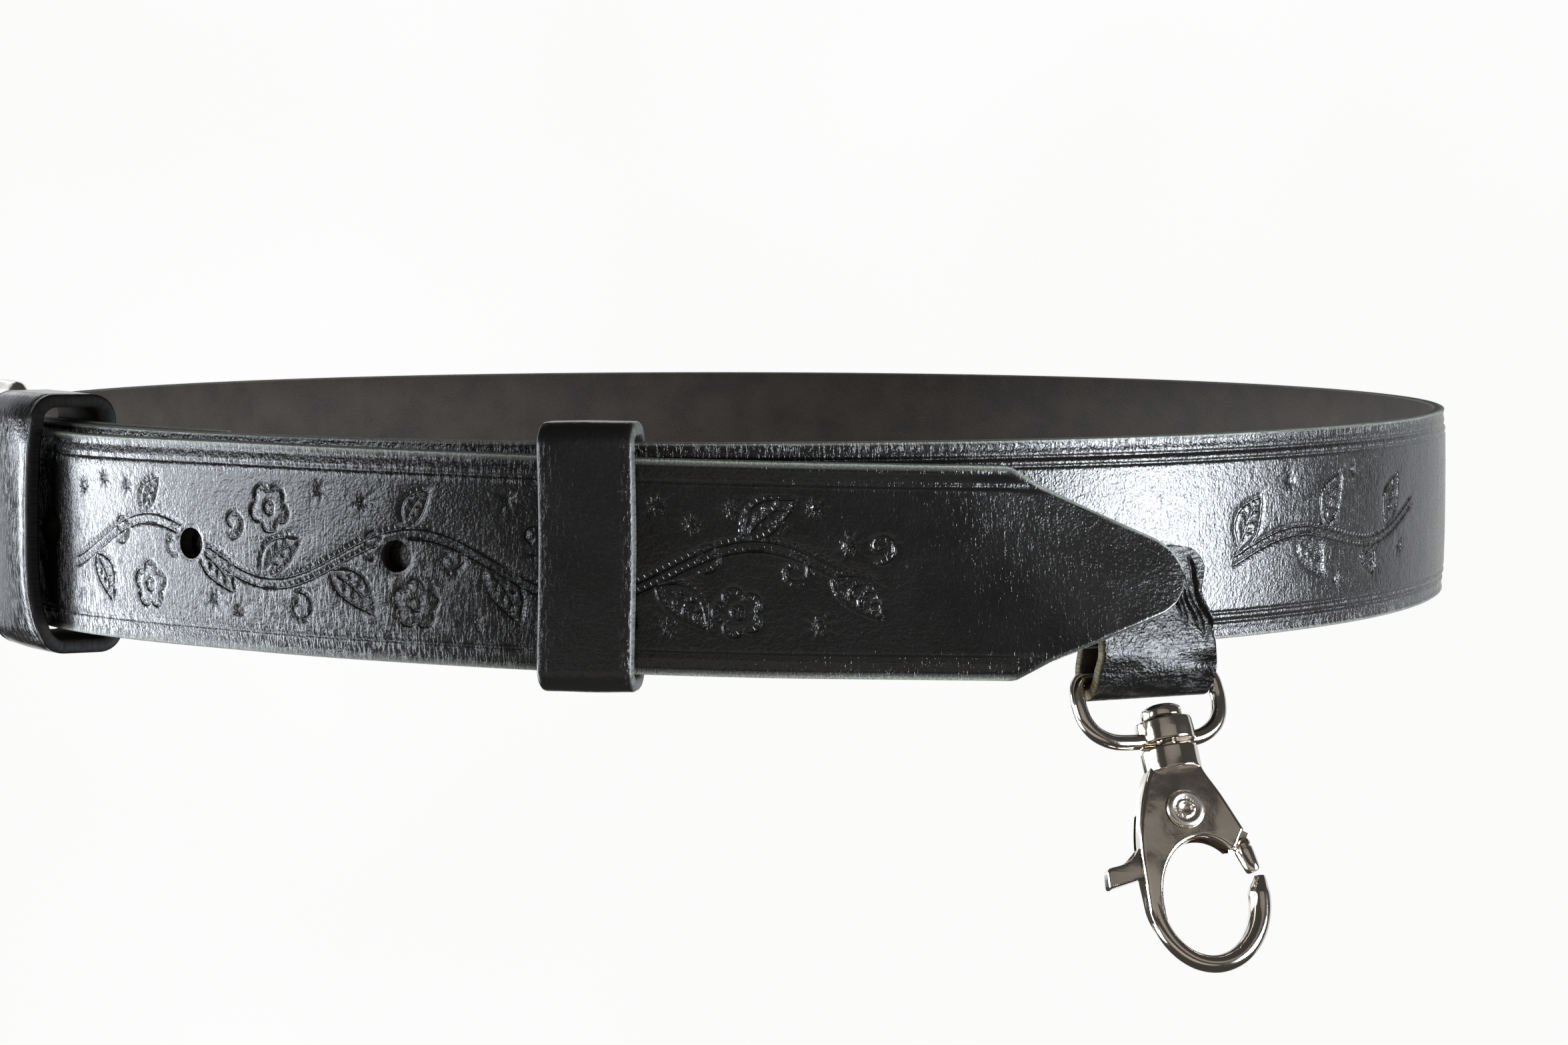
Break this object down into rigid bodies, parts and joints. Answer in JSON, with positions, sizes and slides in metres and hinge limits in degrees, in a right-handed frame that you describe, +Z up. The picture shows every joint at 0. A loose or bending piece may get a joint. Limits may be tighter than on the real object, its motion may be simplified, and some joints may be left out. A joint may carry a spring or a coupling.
{
  "type": "western belt",
  "caption": "Black leather waist belt, fastened in a loop: pointed tongue with punched holes, leather keepers, frame buckle, folded tab and swivel snap hook.",
  "frame": {"origin": "centre of the waist opening, on the middle of the strap's width", "axes": "+Z up as worn, the buckle faces -Y, the tongue runs from the buckle towards +X"},
  "size_m": [0.3395, 0.3187, 0.1009],
  "materials": {
    "strap": "glossy black grain leather, tooled",
    "keeper": "smooth black leather, satin",
    "tab": "black grain leather with a raw tan edge",
    "buckle": "polished nickel plate",
    "hook": "polished nickel plate",
    "rivet": "plain brass"
  },
  "bodies": {
    "belt": {"strap": "strap", "keeper_buckle": "keeper", "keeper_middle": "keeper", "buckle": "buckle", "turnback_rivet_1": "rivet", "turnback_rivet_2": "rivet", "hanger_tab": "tab", "tab_rivet": "rivet"},
    "ring": {"swivel_ring": "hook"},
    "hook": {"hook_body": "hook", "gate_rivet": "hook"},
    "gate": {"gate_lever": "hook"}
  },
  "joints": [
    {"name": "bail_swing", "type": "hinge", "parent": "belt", "child": "ring", "pos_m": [0.15582, 0.02813, -0.0248], "axis": [-0.0872, 0.9962, 0], "range_deg": [-66, 114]},
    {"name": "hook_swivel", "type": "hinge", "parent": "ring", "child": "hook", "pos_m": [0.16007, 0.03041, -0.03476], "axis": [-0.4052, -0.0354, 0.9135], "continuous": true},
    {"name": "gate_hinge", "type": "hinge", "parent": "hook", "child": "gate", "pos_m": [0.16609, 0.03069, -0.04839], "axis": [-0.9114, 0.0946, -0.4006], "range_deg": [0, 25], "stiffness_Nm_per_rad": 0.02, "springref_deg": -11.46}
  ]
}
